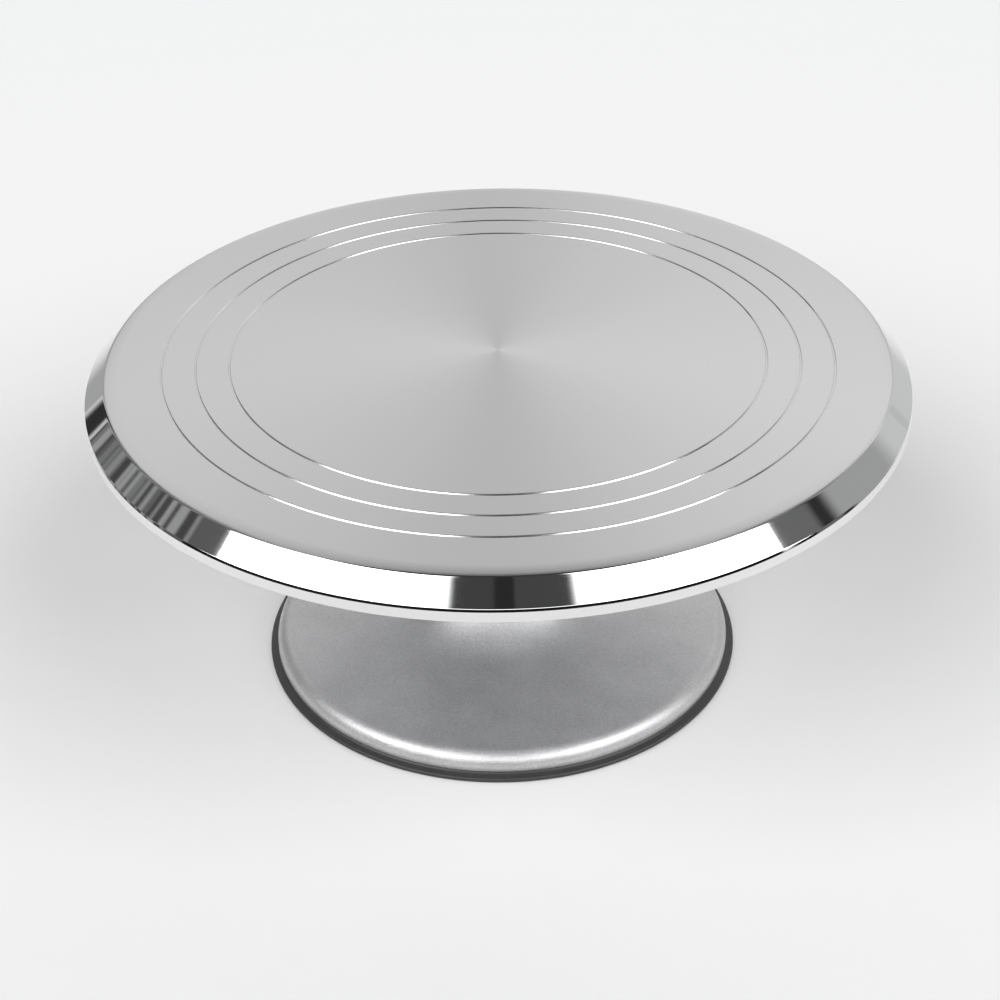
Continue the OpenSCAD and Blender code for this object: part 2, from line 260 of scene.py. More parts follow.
@dataclass(frozen=True)
class BathFinish(Finish):
    """A thin coat from a bath, such as zinc or black oxide: smooth, and mottled where it took unevenly."""

    second_colour: str = "808080"
    patch: float = 3.0
    depth: float = 0.01
    uneven: float = 0.3

    def pattern(self, tree: bpy.types.NodeTree, shader: bpy.types.Node) -> None:
        """Adds patches of the second colour, and a faint grain.

        Args:
            tree: The material's tree.
            shader: Its Principled shader.
        """
        place = add_node(tree, "ShaderNodeTexCoord").outputs["Object"]
        patches = add_node(
            tree, "ShaderNodeTexNoise",
            {"Vector": place, "Scale": 1 / (self.patch * MM), "Detail": 4.0, "Distortion": 0.6},
        )
        spread = add_node(
            tree, "ShaderNodeMapRange",
            {"Value": patches.outputs["Fac"], "From Min": self.uneven, "From Max": 1 - self.uneven},
        )
        tint = add_node(
            tree, "ShaderNodeMix",
            {0: spread.outputs["Result"], 6: linear(self.colour), 7: linear(self.second_colour)},
            data_type="RGBA",
        )
        smoothest = self.roughness * (1 - self.uneven)
        roughest = self.roughness * (1 + self.uneven)
        grade = add_node(
            tree, "ShaderNodeMapRange",
            {"Value": patches.outputs["Fac"], "To Min": smoothest, "To Max": roughest},
        )
        bump = add_node(
            tree, "ShaderNodeBump",
            {"Height": patches.outputs["Fac"], "Strength": 1.0, "Distance": self.depth * MM},
        )
        tree.links.new(tint.outputs[2], shader.inputs["Base Color"])
        tree.links.new(grade.outputs["Result"], shader.inputs["Roughness"])
        tree.links.new(bump.outputs["Normal"], shader.inputs["Normal"])


class Coat(Enum):
    """The finishes on this object, each named for its metal or plastic and how its surface was made.

    Turned and ground lines are really 0.05 to 0.2 mm apart, and the grains 0.1 to 0.3 mm. They're drawn at
    the pitch and grain given here, which are as coarse as they need to be to show.
    """

    # Face-turned aluminium: satin, with soft fans of light that cross at the centre.
    TURNED_FACE = TurnedFinish(
        "turned_aluminium_face", "e3e3e3", 1.0, 0.34, anisotropy=0.68, pitch=0.9, depth=0.0012,
    )
    # Aluminium cut with a diamond tool: a mirror, drawn out a little along the cut.
    MIRROR_BEVEL = TurnedFinish(
        "diamond_cut_aluminium", "eceded", 1.0, 0.045, pitch=1.1, depth=0.0003, light=0.01, rough=0.02,
    )
    # The centring rings' V grooves, cut with a pointed tool: bright, but not quite a mirror.
    RING_CUT = TurnedFinish(
        "ring_cut_aluminium", "e6e6e6", 1.0, 0.15, pitch=0.5, depth=0.0003, light=0.01, rough=0.02,
    )
    # Aluminium turned on the lip's outside: bright and smooth, with plain tool marks.
    TURNED_SIDE = TurnedFinish(
        "turned_aluminium_side", "efefef", 1.0, 0.2, anisotropy=0.5, pitch=0.7, depth=0.0015, light=0.03,
        rough=0.04,
    )
    # Aluminium turned in one rough pass, where nobody looks: dull, with coarse tool marks.
    TURNED_UNDER = TurnedFinish(
        "turned_aluminium_underside", "cfd0d2", 1.0, 0.38, anisotropy=0.6, pitch=1.2, depth=0.004, light=0.05,
        rough=0.05,
    )
    # Silver sand-texture lacquer on a casting: satin with a fine sparkling grain.
    SAND_COAT = GrainedFinish(
        "silver_sand_coat", "d0d0d1", 0.88, 0.42, grain=0.8, depth=0.1, light=0.42, rough=0.14,
    )
    # Bored casting inside the bearing seats: bright metal with tool marks.
    BORED_SEAT = TurnedFinish(
        "bored_aluminium_casting", "c4c6c8", 1.0, 0.3, anisotropy=0.4, pitch=0.5, depth=0.002,
    )
    # Moulded rubber: black and dull, with a soft sheen on its edge.
    MOULDED_RUBBER = GrainedFinish(
        "moulded_black_rubber", "323233", 0.0, 0.42, ior=1.52, grain=0.5, depth=0.02, light=0.12, rough=0.08,
    )
    # Moulded polyamide: black, with the fine spark texture of its mould.
    MOULDED_CAP = GrainedFinish(
        "moulded_black_polyamide", "232426", 0.0, 0.42, ior=1.53, grain=0.35, depth=0.015, light=0.08,
        rough=0.06,
    )
    # Bright zinc plate: pale steel with a cold blue cast that comes and goes.
    ZINC_PLATE = BathFinish("bright_zinc_plate", "c3c9d0", 1.0, 0.26, second_colour="d3d2cb", patch=6.0)
    # Black oxide on screw steel, oiled: near black with a low shine.
    BLACK_OXIDE = BathFinish("oiled_black_oxide", "2b2b2d", 0.9, 0.34, second_colour="3a3835", patch=1.5)
    # Phosphated spring steel: dark grey and matt, slightly brown in patches.
    PHOSPHATE = BathFinish(
        "phosphated_spring_steel", "4a4a49", 0.7, 0.5, second_colour="57534d", patch=1.0,
    )
    # Cylindrically ground steel: bright, with fine lines round the shaft.
    GROUND_STEEL = TurnedFinish(
        "ground_steel", "b9bbbe", 1.0, 0.16, anisotropy=0.5, pitch=0.25, depth=0.0006, light=0.03, rough=0.03,
    )
    # Honed bearing steel: nearly a mirror, with faint lines.
    HONED_STEEL = TurnedFinish(
        "honed_bearing_steel", "c2c3c6", 1.0, 0.1, pitch=0.3, depth=0.0003, light=0.02, rough=0.02,
    )
    # Cold-rolled strip, pressed to shape: smooth but not bright.
    PRESSED_STEEL = GrainedFinish(
        "pressed_strip_steel", "aeb0b3", 1.0, 0.28, grain=0.4, depth=0.003, light=0.05,
    )


class Palette:
    """Builds each finish's material once and hands out the same one after that."""

    def __init__(self) -> None:
        """Starts with no material made."""
        self.made: dict[Coat, bpy.types.Material] = {}

    def __getitem__(self, coat: Coat) -> bpy.types.Material:
        """Gives the material of a coat, built the first time it is asked for.

        Args:
            coat: The finish.

        Returns:
            Its material.
        """
        if coat not in self.made:
            self.made[coat] = coat.value.material()
        return self.made[coat]


# ---- Outlines of turned sections, as (radius, height) ----------------------


def arc(centre: Point, radius: float, start: float, end: float, steps: int = 6) -> list[Point]:
    """Points of an arc.

    Args:
        centre: Centre of the arc.
        radius: Its radius.
        start: First angle in degrees, from the direction of growing radius.
        end: Last angle in degrees.
        steps: Number of straight pieces.

    Returns:
        The arc's points, both ends included.
    """
    angles = [math.radians(start + (end - start) * i / steps) for i in range(steps + 1)]
    return [(centre[0] + radius * math.cos(a), centre[1] + radius * math.sin(a)) for a in angles]


def eased(points: list[Point], closed: bool, width: float, sharpest: float = 25.0) -> list[Point]:
    """Breaks each hard corner of a section with a small chamfer, as a maker does with a file or a tool.

    Args:
        points: The section.
        closed: Whether the last point joins the first.
        width: How far the chamfer reaches along each side.
        sharpest: The turn in degrees past which a corner is broken.

    Returns:
        The section with broken corners.
    """
    out: list[Point] = []
    last = len(points) - 1
    for i, point in enumerate(points):
        if not closed and i in (0, last):
            out.append(point)
            continue
        here = Vector(point)
        before = Vector(points[i - 1]) - here
        after = Vector(points[(i + 1) % len(points)]) - here
        turn = 180 - math.degrees(before.angle(after))
        reach = min(width, before.length / 3, after.length / 3)
        if turn < sharpest:
            out.append(point)
        else:
            out.extend([tuple(here + before.normalized() * reach), tuple(here + after.normalized() * reach)])
    return out


def rounded(points: list[Point], onward: Point, radius: float, steps: int = 6) -> list[Point]:
    """Rounds the corner between the end of a section and the straight stretch that follows it.

    Args:
        points: The section so far, whose last point is the corner.
        onward: The far end of the straight stretch.
        radius: Radius of the round.
        steps: Number of straight pieces in it.

    Returns:
        The section with the round in place of the corner.
    """
    corner = Vector(points[-1])
    back = (Vector(points[-2]) - corner).normalized()
    ahead = (Vector(onward) - corner).normalized()
    half = back.angle(ahead) / 2
    reach = radius / math.tan(half)
    kept = [p for p in points[:-1] if (Vector(p) - corner).length > reach]
    start, end = corner + back * reach, corner + ahead * reach
    centre = corner + (back + ahead).normalized() * (radius / math.sin(half))
    spokes = [math.degrees(math.atan2(p.y - centre.y, p.x - centre.x)) for p in (start, end)]
    return [*kept, *arc(tuple(centre), radius, spokes[0], spokes[1], steps)]


def held(points: list[Point], closed: bool, reach: float) -> list[Point]:
    """Adds a point near both ends of each long stretch, which keeps its shading flat up to its corners.

    Args:
        points: The section.
        closed: Whether the last point joins the first.
        reach: Distance of the new points from the ends.

    Returns:
        The section with the holding points.
    """
    out: list[Point] = []
    pairs = zip(points, points[1:] + points[:1] if closed else points[1:])
    for start, end in pairs:
        a, b = Vector(start), Vector(end)
        out.append(start)
        if (b - a).length > 4 * reach:
            out.extend([tuple(a + (b - a).normalized() * reach), tuple(b - (b - a).normalized() * reach)])
    if not closed:
        out.append(points[-1])
    return out


# ---- Mesh work ---------------------------------------------------------------


def turned(
    points: list[Point], closed: bool = False, segments: int = 256, ease: float = 0.1, hold: float = 0.12,
    sweep: float = 360.0,
) -> bmesh.types.BMesh:
    """Spins a section about the spindle's axis.

    Args:
        points: The section as (radius, height).
        closed: True for a ring's section; False for one that starts and ends on the axis.
        segments: Number of steps in the sweep.
        ease: Width of the chamfer on hard corners.
        hold: Distance of the points that hold flats.
        sweep: Angle of the sweep in degrees; less than a full turn leaves two flat ends.

    Returns:
        A closed solid in millimetres.
    """
    shape = held(eased(points, closed, ease), closed, hold)
    mesh = bmesh.new()
    verts = [mesh.verts.new((r, 0.0, z)) for r, z in shape]
    edges = [mesh.edges.new(pair) for pair in zip(verts, verts[1:])]
    if closed:
        edges.append(mesh.edges.new((verts[-1], verts[0])))
    full = sweep >= 360
    bmesh.ops.spin(
        mesh, geom=verts + edges, cent=(0, 0, 0), axis=(0, 0, 1), dvec=(0, 0, 0), angle=math.radians(sweep),
        steps=segments, use_merge=full, use_normal_flip=False, use_duplicate=False,
    )
    bmesh.ops.remove_doubles(mesh, verts=mesh.verts, dist=MERGED)
    if not full:
        bmesh.ops.holes_fill(mesh, edges=[e for e in mesh.edges if e.is_boundary], sides=0)
    bmesh.ops.dissolve_degenerate(mesh, edges=mesh.edges, dist=SLIVER)
    bmesh.ops.recalc_face_normals(mesh, faces=mesh.faces)
    return mesh


def repeated(mesh: bmesh.types.BMesh, count: int, radius: float, start: float) -> bmesh.types.BMesh:
    """Copies a shape drawn on the axis to evenly spaced places round it.

    Args:
        mesh: The shape, which is used up.
        count: Number of copies.
        radius: Radius of the circle that they stand on.
        start: Angle of the first one in degrees.

    Returns:
        One mesh with all the copies.
    """
    pattern = bpy.data.meshes.new("pattern")
    mesh.to_mesh(pattern)
    mesh.free()
    out = bmesh.new()
    for i in range(count):
        known = len(out.verts)
        out.from_mesh(pattern)
        out.verts.ensure_lookup_table()
        turn = Matrix.Rotation(math.radians(start + 360 * i / count), 4, "Z")
        bmesh.ops.transform(out, matrix=turn @ Matrix.Translation((radius, 0, 0)), verts=out.verts[known:])
    bpy.data.meshes.remove(pattern)
    return out


def drum(
    radius: float, low: float, high: float, segments: int = 48, chamfer: float = 0.0,
) -> bmesh.types.BMesh:
    """A cutter for a round hole, flared at its lower mouth.

    Args:
        radius: Radius of the hole.
        low: Height of the mouth that gets the chamfer.
        high: Height of the other end.
        segments: Number of sides.
        chamfer: Width of the chamfer.

    Returns:
        A closed solid on the axis, which passes the mouth a little.
    """
    spare = 0.5
    wide = radius + chamfer
    flare = [(wide, low), (radius, low + chamfer)] if chamfer > 0 else []
    outline = [(0, low - spare), (wide, low - spare), *flare, (radius, high), (0, high)]
    return turned(outline, segments=segments, ease=0.0, hold=5.0)


class Operation(Enum):
    """How two solids are put together."""

    CUT = "DIFFERENCE"
    JOIN = "UNION"


def combined(body: bmesh.types.BMesh, tool: bmesh.types.BMesh, operation: Operation) -> bmesh.types.BMesh:
    """Cuts a tool out of a body, or joins it on.

    Args:
        body: The solid that is worked on, which is used up.
        tool: The other solid, which is used up.
        operation: Cut or join.

    Returns:
        The result.
    """
    parts = []
    for mesh in (body, tool):
        data = bpy.data.meshes.new("work")
        mesh.to_mesh(data)
        mesh.free()
        part = bpy.data.objects.new("work", data)
        bpy.context.scene.collection.objects.link(part)
        parts.append(part)
    modifier = parts[0].modifiers.new("work", "BOOLEAN")
    modifier.operation = operation.value
    modifier.solver = "EXACT"
    modifier.object = parts[1]
    evaluated = parts[0].evaluated_get(bpy.context.evaluated_depsgraph_get())
    out = bmesh.new()
    out.from_mesh(evaluated.to_mesh())
    evaluated.to_mesh_clear()
    for part in parts:
        data = part.data
        bpy.data.objects.remove(part)
        bpy.data.meshes.remove(data)
    bmesh.ops.remove_doubles(out, verts=out.verts, dist=MERGED)
    bmesh.ops.dissolve_degenerate(out, edges=out.edges, dist=SLIVER)
    return out


@dataclass
class Piece:
    """What a finished mesh needs to become a piece of the object."""

    name: str
    node: str
    body: str
    slot: str
    coats: list[Coat]
    crease: float = 30.0

    def finish(
        self, mesh: bmesh.types.BMesh, palette: Palette,
        zone: Callable[[Vector, Vector], int] | None = None,
    ) -> bpy.types.Object:
        """Scales a mesh to metres, shades it and puts it in place of its CAD node.

        Args:
            mesh: The mesh in millimetres, which is used up.
            palette: The materials.
            zone: Gives the number of a face's coat from its middle and its normal, in millimetres.

        Returns:
            The piece, riding on its body.
        """
        limit = math.radians(self.crease)
        mesh.normal_update()
        for face in mesh.faces:
            face.smooth = True
            face.material_index = zone(face.calc_center_median(), face.normal) if zone else 0
        for edge in mesh.edges:
            edge.smooth = not (len(edge.link_faces) == 2 and edge.calc_face_angle() > limit)
        bmesh.ops.scale(mesh, vec=(MM, MM, MM), verts=mesh.verts)
        data = bpy.data.meshes.new(self.name)
        mesh.to_mesh(data)
        mesh.free()
        piece = bpy.data.objects.new(self.name, data)
        bpy.context.scene.collection.objects.link(piece)
        for coat in self.coats:
            data.materials.append(palette[coat])
        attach(piece, self.body)
        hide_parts(self.node)
        log.info("%s: %d faces on %s", self.name, len(data.polygons), self.body)
        return piece


@dataclass(frozen=True)
class Extent:
    """The heights and the radius of a CAD node in millimetres."""

    low: float
    high: float
    radius: float

    @classmethod
    def of(cls, node: str) -> "Extent":
        """Measures a CAD node at rest."""
        low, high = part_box(node)
        return cls(round(low.z / MM, 3), round(high.z / MM, 3), round(high.x / MM, 3))


@dataclass(frozen=True)
class ScrewCircle:
    """The circle that the screws under the plate stand on."""

    radius: float = 30.0
    count: int = 4
    start: float = 45.0

    def repeat(self, mesh: bmesh.types.BMesh) -> bmesh.types.BMesh:
        """Copies a shape drawn on the axis to each screw's place, and uses it up."""
        return repeated(mesh, self.count, self.radius, self.start)


# ---- The plate -----------------------------------------------------------------


@dataclass
class TurntablePlate:
    """The plate: satin face with centring rings, crowned edge, mirror bevel, lip and hollow underside."""

    size: Extent
    boss_z: float
    circle: ScrewCircle
    bevel_w: float = 8.0
    crown_w: float = 5.0
    crown_drop: float = 0.5
    ring_radii: tuple[float, ...] = (99.0, 111.4, 123.8)
    ring_w: float = 1.0
    web_t: float = 4.5
    lip_t: float = 5.0
    flat_step: int = 15
    face_last_r: int = 90
    web_first_r: int = 135
    web_last_r: int = 60
    boss_flat_r: float = 20.0
    lip_zone_w: float = 5.5
    least_rise: float = 0.2
    crown_round: float = 2.4
    lip_facet: float = 1.0
    lip_facet_slope: float = 25.0
    lip_foot_round: float = 0.6
    inner_bevel_drop: float = 6.0
    boss_r: float = 40.0
    boss_round: float = 1.5
    screw_hole_r: float = 2.5
    screw_hole_depth: float = 5.8

    def section(self) -> list[Point]:
        """Draws the half section, from the middle of the face round to the middle of the boss.

        The wide flats get a point every flat_step, so that their long thin faces stay even.

        Returns:
            The outline.
        """
        top = self.size.high
        outer = self.size.radius
        bevel_top_r = outer - self.bevel_w
        bevel_foot_z = top - self.crown_drop - self.bevel_w
        face_r = bevel_top_r - self.crown_w
        crown_r = (self.crown_w ** 2 + self.crown_drop ** 2) / (2 * self.crown_drop)
        crown_angle = math.degrees(math.asin(self.crown_w / crown_r))
        foot = self.lip_foot_round
        inner = outer - self.lip_t
        web = top - self.web_t
        lean = math.radians(self.lip_facet_slope)
        facet_r = outer - self.lip_facet * math.sin(lean)
        facet_z = bevel_foot_z + self.lip_facet * math.sin(lean)
        face = [(r, top) for r in range(0, self.face_last_r + 1, self.flat_step)]
        half = self.ring_w / 2
        for ring in self.ring_radii:
            face += [(ring - half, top), (ring, top - half), (ring + half, top)]
        crown = arc((face_r, top - crown_r), crown_r, 90, 90 - crown_angle, 10)
        return [
            *face,
            *rounded(crown, (facet_r, facet_z), self.crown_round),
            (facet_r, facet_z),
            (outer, facet_z - self.lip_facet * math.cos(lean)),
            *arc((outer - foot, self.size.low + foot), foot, 0, -90),
            *arc((inner + foot, self.size.low + foot), foot, -90, -180),
            (inner, web - self.inner_bevel_drop),
            (inner - self.inner_bevel_drop, web),
            *[(r, web) for r in range(self.web_first_r, self.web_last_r - 1, -self.flat_step)],
            *arc((self.boss_r + self.boss_round, web - self.boss_round), self.boss_round, 90, 180),
            (self.boss_r, self.boss_z),
            (self.boss_flat_r, self.boss_z),
            (0, self.boss_z),
        ]

    def zone(self, middle: Vector, normal: Vector) -> int:
        """Tells the face, the mirror-cut surfaces, the lip and the underside apart.

        Args:
            middle: The face's middle.
            normal: Its normal.

        Returns:
            The number of its coat.
        """
        radius = math.hypot(middle.x, middle.y)
        below = self.size.high - middle.z
        looks_up = normal.z > self.least_rise
        in_ring = any(abs(radius - ring) < self.ring_w / 2 for ring in self.ring_radii)
        on_bevel = radius > self.size.radius - self.bevel_w
        if looks_up and on_bevel and below < self.crown_drop + self.bevel_w + self.lip_facet:
            return 1
        if looks_up and in_ring and below > NEAR:
            return 4
        if looks_up and below < self.crown_drop:
            return 0
        return 2 if radius > self.size.radius - self.lip_zone_w else 3

    def build(self, palette: Palette) -> None:
        """Spins the plate and drills its four blind holes.

        Args:
            palette: The materials.
        """
        plate = turned(self.section())
        drill = drum(self.screw_hole_r, self.boss_z, self.boss_z + self.screw_hole_depth)
        plate = combined(plate, self.circle.repeat(drill), Operation.CUT)
        coats = [Coat.TURNED_FACE, Coat.MIRROR_BEVEL, Coat.TURNED_SIDE, Coat.TURNED_UNDER, Coat.RING_CUT]
        piece = Piece("plate", "turntable_plate", "rotor", "turned_aluminium", coats)
        piece.finish(plate, palette, self.zone)


# ---- The spindle and what fastens it ---------------------------------------------


@dataclass
class SpindleSet:
    """The flange under the plate, its screws and lock washers, and the spindle."""

    flange: Extent
    shaft: Extent
    upper_bearing: Extent
    circlip: Extent
    circle: ScrewCircle
    stub_r: float = 9.0
    collar_r: float = 12.0
    collar_h: float = 6.0
    neck_r: float = 9.0
    journal_r: float = 6.0
    groove_depth: float = 0.25
    chamfer: float = 1.0
    clearance_r: float = 2.75
    clearance_chamfer: float = 0.25
    washer_t: float = 1.2
    washer_r: float = 4.6
    washer_bore_r: float = 2.65
    washer_slit: float = 0.9
    head_r: float = 4.75
    head_h: float = 2.75
    head_edge: float = 0.3
    dome_share: float = 0.97
    socket: float = 3.0
    socket_depth: float = 1.6
    thread_r: float = 2.5
    thread_l: float = 10.0
    tip: float = 0.6

    def build(self, palette: Palette) -> None:
        """Builds the four pieces in the order they're fitted.

        Args:
            palette: The materials.
        """
        self.build_spindle(palette)
        self.build_flange(palette)
        self.build_washers(palette)
        self.build_screws(palette)

    def build_spindle(self, palette: Palette) -> None:
        """Turns the spindle: stub, collar, neck, ground journal and the retaining ring's groove.

        Args:
            palette: The materials.
        """
        collar_z = self.flange.low - self.collar_h
        groove_r = self.journal_r - self.groove_depth
        cut = self.chamfer
        shaft = turned([
            (0, self.shaft.low),
            (self.journal_r - cut, self.shaft.low),
            (self.journal_r, self.shaft.low + cut),
            (self.journal_r, self.circlip.low),
            (groove_r, self.circlip.low),
            (groove_r, self.circlip.high),
            (self.journal_r, self.circlip.high),
            (self.journal_r, self.upper_bearing.high),
            (self.neck_r, self.upper_bearing.high),
            (self.neck_r, collar_z),
            (self.collar_r - cut, collar_z),
            (self.collar_r, collar_z + cut),
            (self.collar_r, self.flange.low),
            (self.stub_r, self.flange.low),
            (self.stub_r, self.shaft.high - cut),
            (self.stub_r - cut, self.shaft.high),
            (0, self.shaft.high),
        ], segments=128, ease=0.06, hold=0.08)
        piece = Piece("spindle_shaft", "spindle", "rotor", "ground_steel", [Coat.GROUND_STEEL])
        piece.finish(shaft, palette)

    def build_flange(self, palette: Palette) -> None:
        """Turns the flange and drills its screw holes, each countersunk a little.

        Args:
            palette: The materials.
        """
        disc = turned([
            (self.stub_r, self.flange.low),
            (self.flange.radius - self.chamfer, self.flange.low),
            (self.flange.radius, self.flange.low + self.chamfer),
            (self.flange.radius, self.flange.high),
            (self.stub_r, self.flange.high),
        ], closed=True, segments=192)
        drill = drum(
            self.clearance_r, self.flange.low, self.flange.high + 1, chamfer=self.clearance_chamfer,
        )
        disc = combined(disc, self.circle.repeat(drill), Operation.CUT)
        piece = Piece("flange_disc", "spindle_flange", "rotor", "zinc_plated_steel", [Coat.ZINC_PLATE])
        piece.finish(disc, palette)

    def build_washers(self, palette: Palette) -> None:
        """Turns the four lock washers as flat rings, each with its slit.

        Args:
            palette: The materials.
        """
        low = self.flange.low - self.washer_t
        gap = math.degrees(self.washer_slit / (self.washer_r + self.washer_bore_r) * 2)
        section = [
            (self.washer_bore_r, low),
            (self.washer_r, low),
            (self.washer_r, self.flange.low),
            (self.washer_bore_r, self.flange.low),
        ]
        washer = turned(section, closed=True, segments=60, ease=0.08, hold=0.08, sweep=360 - gap)
        turn = Matrix.Rotation(math.radians(gap / 2), 4, "Z")
        bmesh.ops.transform(washer, matrix=turn, verts=washer.verts)
        piece = Piece("lock_washers", "screw_lock_washers", "rotor", "zinc_plated_steel", [Coat.ZINC_PLATE])
        piece.finish(self.circle.repeat(washer), palette)

    def build_screws(self, palette: Palette) -> None:
        """Turns the button head screws and broaches their hexagon sockets.

        Args:
            palette: The materials.
        """
        seat = self.flange.low - self.washer_t
        bottom = seat - self.head_h
        dome_r = (self.head_r ** 2 + self.head_h ** 2) / (2 * self.head_h)
        half = math.degrees(math.asin(self.head_r / dome_r))
        screw = turned([
            *arc((0, bottom + dome_r), dome_r, -90, -90 + half * self.dome_share, 14),
            (self.head_r, seat - self.head_edge),
            (self.head_r, seat),
            (self.thread_r, seat),
            (self.thread_r, seat + self.thread_l - self.tip),
            (self.thread_r - self.tip, seat + self.thread_l),
            (0, seat + self.thread_l),
        ], segments=64, ease=0.06, hold=0.06)
        corner_r = self.socket / 2 / math.cos(math.radians(30))
        broach = drum(corner_r, bottom - 1, bottom + self.socket_depth, segments=6)
        screw = combined(screw, broach, Operation.CUT)
        piece = Piece("button_screws", "flange_screws", "rotor", "black_screw_steel", [Coat.BLACK_OXIDE])
        piece.finish(self.circle.repeat(screw), palette)


# ---- The pedestal ------------------------------------------------------------------


@dataclass
class Pedestal:
    """The trumpet-shaped casting with its bearing housing and ribs, the cap under it and the rubber ring."""

    casting: Extent
    ring: Extent
    cap: Extent
    race: Extent
    lower_bearing: Extent
    shoulder_h: float = 10.0
    shoulder_r: float = 6.0
    foot_slope: float = 8.5
    flare_r: float = 30.0
    column_r: float = 23.0
    column_round: float = 2.0
    skin_t: float = 3.5
    ledge_r: float = 13.5
    housing_z: float = 44.0
    housing_r: float = 20.0
    hollow_arc: float = 62.0
    rib_count: int = 6
    rib_t: float = 3.0
    rib_lift: float = 3.0
    rib_inner_r: float = 24.0
    rib_root: float = 1.2
    rib_edge_round: float = 0.9
    seat_mouth: float = 0.6
    upstand_t: float = 4.0
    upstand_lead: float = 2.0
    rubber_h: float = 3.0
    rubber_band: float = 12.0
    rubber_round: float = 1.0
    bead_step: float = 0.6
    tread_start: float = 2.0
    tread_w: float = 1.0
    tread_depth: float = 0.6
    tread_pitch: float = 2.6
    tread_count: int = 4
    cap_flange_t: float = 1.5
    cap_wall: float = 1.5

    def shoulder(self, inset: float) -> list[Point]:
        """The rounded shoulder of the foot, moved in by a thickness."""
        centre = (self.casting.radius - self.shoulder_r, self.shoulder_h - self.shoulder_r)
        return arc(centre, self.shoulder_r - inset, 0, 90 - self.foot_slope, 12)

    def flare_centre(self) -> Point:
        """Centre of the flare's arc, which touches both the foot's cone and the column.

        Returns:
            The centre.
        """
        slope = math.radians(self.foot_slope)
        start = self.shoulder(0)[-1]
        x = self.column_r + self.flare_r
        return x, start[1] + (start[0] - x) * math.tan(slope) + self.flare_r / math.cos(slope)

    def flare(self, inset: float, sweep: float, steps: int) -> list[Point]:
        """The flare from the cone up, moved in by a thickness.

        Args:
            inset: How far inside the outer surface.
            sweep: How much of the arc, in degrees.
            steps: Number of straight pieces.

        Returns:
            The points.
        """
        start = 270 - self.foot_slope
        return arc(self.flare_centre(), self.flare_r + inset, start, start - sweep, steps)

    def section(self) -> list[Point]:
        """Draws the casting's section: outside, column top, bearing seats, housing and hollow.

        Returns:
            The closed outline.
        """
        top = self.casting.high
        low = self.casting.low
        seat_r = self.race.radius
        return [
            (self.casting.radius, low),
            *self.shoulder(0),
            *self.flare(0, 90 - self.foot_slope, 32),
            *arc((self.column_r - self.column_round, top - self.column_round), self.column_round, 0, 90),
            (seat_r + self.seat_mouth, top),
            (seat_r, top - self.seat_mouth),
            (seat_r, self.race.low),
            (self.ledge_r, self.race.low),
            (self.ledge_r, self.lower_bearing.high),
            (seat_r, self.lower_bearing.high),
            (seat_r, self.housing_z),
            (self.housing_r, self.housing_z),
            *self.flare(self.skin_t, self.hollow_arc, 20)[::-1],
            *self.shoulder(self.skin_t)[::-1],
            (self.casting.radius - self.skin_t, low),
        ]

    def rib(self) -> bmesh.types.BMesh:
        """Cuts one rib from plate: straight below, and rooted in the skin above.

        Returns:
            The rib, standing on the X axis.
        """
        inset = self.skin_t - self.rib_root
        centre = self.flare_centre()
        reach = self.flare_r + inset
        end = 180 + math.degrees(math.acos((centre[0] - self.rib_inner_r) / reach))
        start = 270 - self.foot_slope
        low = self.casting.low + self.rib_lift
        skin = [p for p in self.shoulder(inset) if p[1] > low]
        outline = [
            (self.rib_inner_r, low),
            (skin[0][0], low),
            *skin,
            *arc(centre, reach, start, end, 16),
        ]
        mesh = bmesh.new()
        verts = [mesh.verts.new((x, -self.rib_t / 2, z)) for x, z in outline]
        face = mesh.faces.new(verts)
        grown = bmesh.ops.extrude_face_region(mesh, geom=[face])
        moved = [v for v in grown["geom"] if isinstance(v, bmesh.types.BMVert)]
        bmesh.ops.translate(mesh, vec=(0, self.rib_t, 0), verts=moved)
        bmesh.ops.recalc_face_normals(mesh, faces=mesh.faces)
        lowest = [e for e in mesh.edges if all(v.co.z < low + NEAR for v in e.verts)]
        free = [e for e in lowest if abs(e.verts[0].co.y - e.verts[1].co.y) < NEAR]
        bmesh.ops.bevel(
            mesh, geom=free, offset=self.rib_edge_round, segments=4, profile=0.5, affect="EDGES", material=-1,
            clamp_overlap=True,
        )
        return mesh

    def zone(self, middle: Vector, normal: Vector) -> int:
        """Tells the bored seats from the coated casting.

        Args:
            middle: The face's middle.
            normal: Its normal.

        Returns:
            The number of its coat.
        """
        in_bore = math.hypot(middle.x, middle.y) < self.race.radius + self.seat_mouth + ZONE_SPARE
        above_end = middle.z > self.housing_z + ZONE_SPARE
        return 1 if in_bore and above_end else 0

    def build(self, palette: Palette) -> None:
        """Builds the casting, its cap and its rubber ring.

        Args:
            palette: The materials.
        """
        casting = turned(self.section(), closed=True, ease=0.15)
        ribs = repeated(self.rib(), self.rib_count, 0, 0)
        casting = combined(casting, ribs, Operation.JOIN)
        coats = [Coat.SAND_COAT, Coat.BORED_SEAT]
        piece = Piece("pedestal_casting", "pedestal", "pedestal_base", "cast_silver", coats)
        piece.finish(casting, palette, self.zone)
        self.build_cap(palette)
        self.build_rubber(palette)

